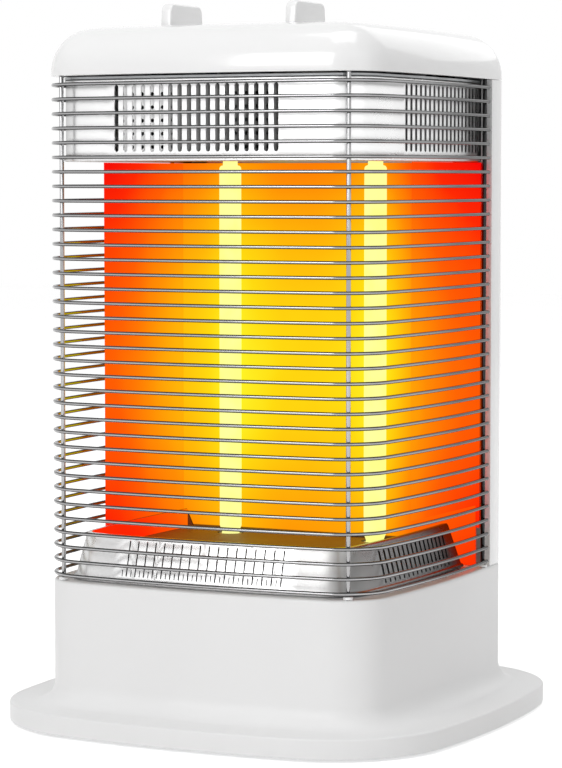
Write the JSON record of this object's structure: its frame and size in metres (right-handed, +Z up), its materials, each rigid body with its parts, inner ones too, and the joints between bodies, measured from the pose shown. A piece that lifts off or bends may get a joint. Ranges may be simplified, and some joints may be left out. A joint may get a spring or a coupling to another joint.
{
  "type": "carbon heater",
  "caption": "Upright free-standing radiant heater: lit lamps before a bent reflector, wrap-round wire guard, slotted bands, knobs on a rounded cap and a wide foot.",
  "frame": {"origin": "on the floor under the middle of the foot", "axes": "+Z up, the guarded front faces -Y, +X to the viewer's right"},
  "size_m": [0.3408, 0.3408, 0.503],
  "materials": {
    "gloss_white": "gloss white moulded shell",
    "satin_white": "satin white moulding",
    "chrome": "bright chrome plate",
    "glow_sheet": "polished sheet lit orange by the lamps",
    "plated_steel": "zinc-plated sheet and screws",
    "quartz": "lit quartz tube",
    "carbon": "carbon ribbon",
    "ceramic": "unglazed lamp ceramic",
    "rubber": "black rubber",
    "dark_plastic": "dark moulding",
    "cream_plastic": "cream moulding",
    "brass": "brass"
  },
  "bodies": {
    "housing": {"base_housing": "satin_white", "bottom_plate": "plated_steel", "bottom_screw_1": "plated_steel", "bottom_screw_2": "plated_steel", "bottom_screw_3": "plated_steel", "bottom_screw_4": "plated_steel", "plunger_spring": "plated_steel", "rubber_foot_1": "rubber", "rubber_foot_2": "rubber", "rubber_foot_3": "rubber", "rubber_foot_4": "rubber", "cord_gland": "rubber", "tip_over_switch": "dark_plastic", "wiring_loom": "dark_plastic", "rotary_switch": "dark_plastic", "terminal_block": "cream_plastic", "timer": "cream_plastic", "wire_guard": "chrome", "lower_tray": "chrome", "upper_band": "chrome", "guard_bush_1": "gloss_white", "guard_bush_2": "gloss_white", "guard_bush_3": "gloss_white", "guard_bush_4": "gloss_white", "rear_cover": "gloss_white", "top_cap": "gloss_white", "ceiling_plate": "plated_steel", "vent_screen": "plated_steel", "rear_frame": "plated_steel", "control_deck": "plated_steel", "frame_screw_left": "plated_steel", "frame_screw_right": "plated_steel", "rear_cover_screw_1": "plated_steel", "rear_cover_screw_2": "plated_steel", "rear_cover_screw_3": "plated_steel", "rear_cover_screw_4": "plated_steel", "cap_screw_left": "plated_steel", "cap_screw_right": "plated_steel", "reflector": "glow_sheet", "thermal_cutout": "brass", "quartz_tube_left": "quartz", "carbon_filament_left": "carbon", "lower_ceramic_left": "ceramic", "upper_ceramic_left": "ceramic", "lower_holder_left": "plated_steel", "upper_holder_left": "plated_steel", "quartz_tube_right": "quartz", "carbon_filament_right": "carbon", "lower_ceramic_right": "ceramic", "upper_ceramic_right": "ceramic", "lower_holder_right": "plated_steel", "upper_holder_right": "plated_steel"},
    "power_dial": {"power_knob": "gloss_white", "power_shaft": "brass"},
    "timer_dial": {"timer_knob": "gloss_white", "timer_shaft": "brass"},
    "floor_plunger": {"tip_over_plunger": "cream_plastic"}
  },
  "joints": [
    {"name": "power_turn", "type": "hinge", "parent": "housing", "child": "power_dial", "pos_m": [-0.048, -0.0586, 0.48], "axis": [0, 0, -1], "range_deg": [0, 90]},
    {"name": "timer_turn", "type": "hinge", "parent": "housing", "child": "timer_dial", "pos_m": [0.048, -0.0586, 0.48], "axis": [0, 0, -1], "range_deg": [0, 300]},
    {"name": "floor_plunger_slide", "type": "slide", "parent": "housing", "child": "floor_plunger", "axis": [0, 0, 1], "range_m": [-0.006, 0], "stiffness_N_per_m": 200, "springref_m": -0.008, "deforming": ["plunger_spring"]}
  ]
}
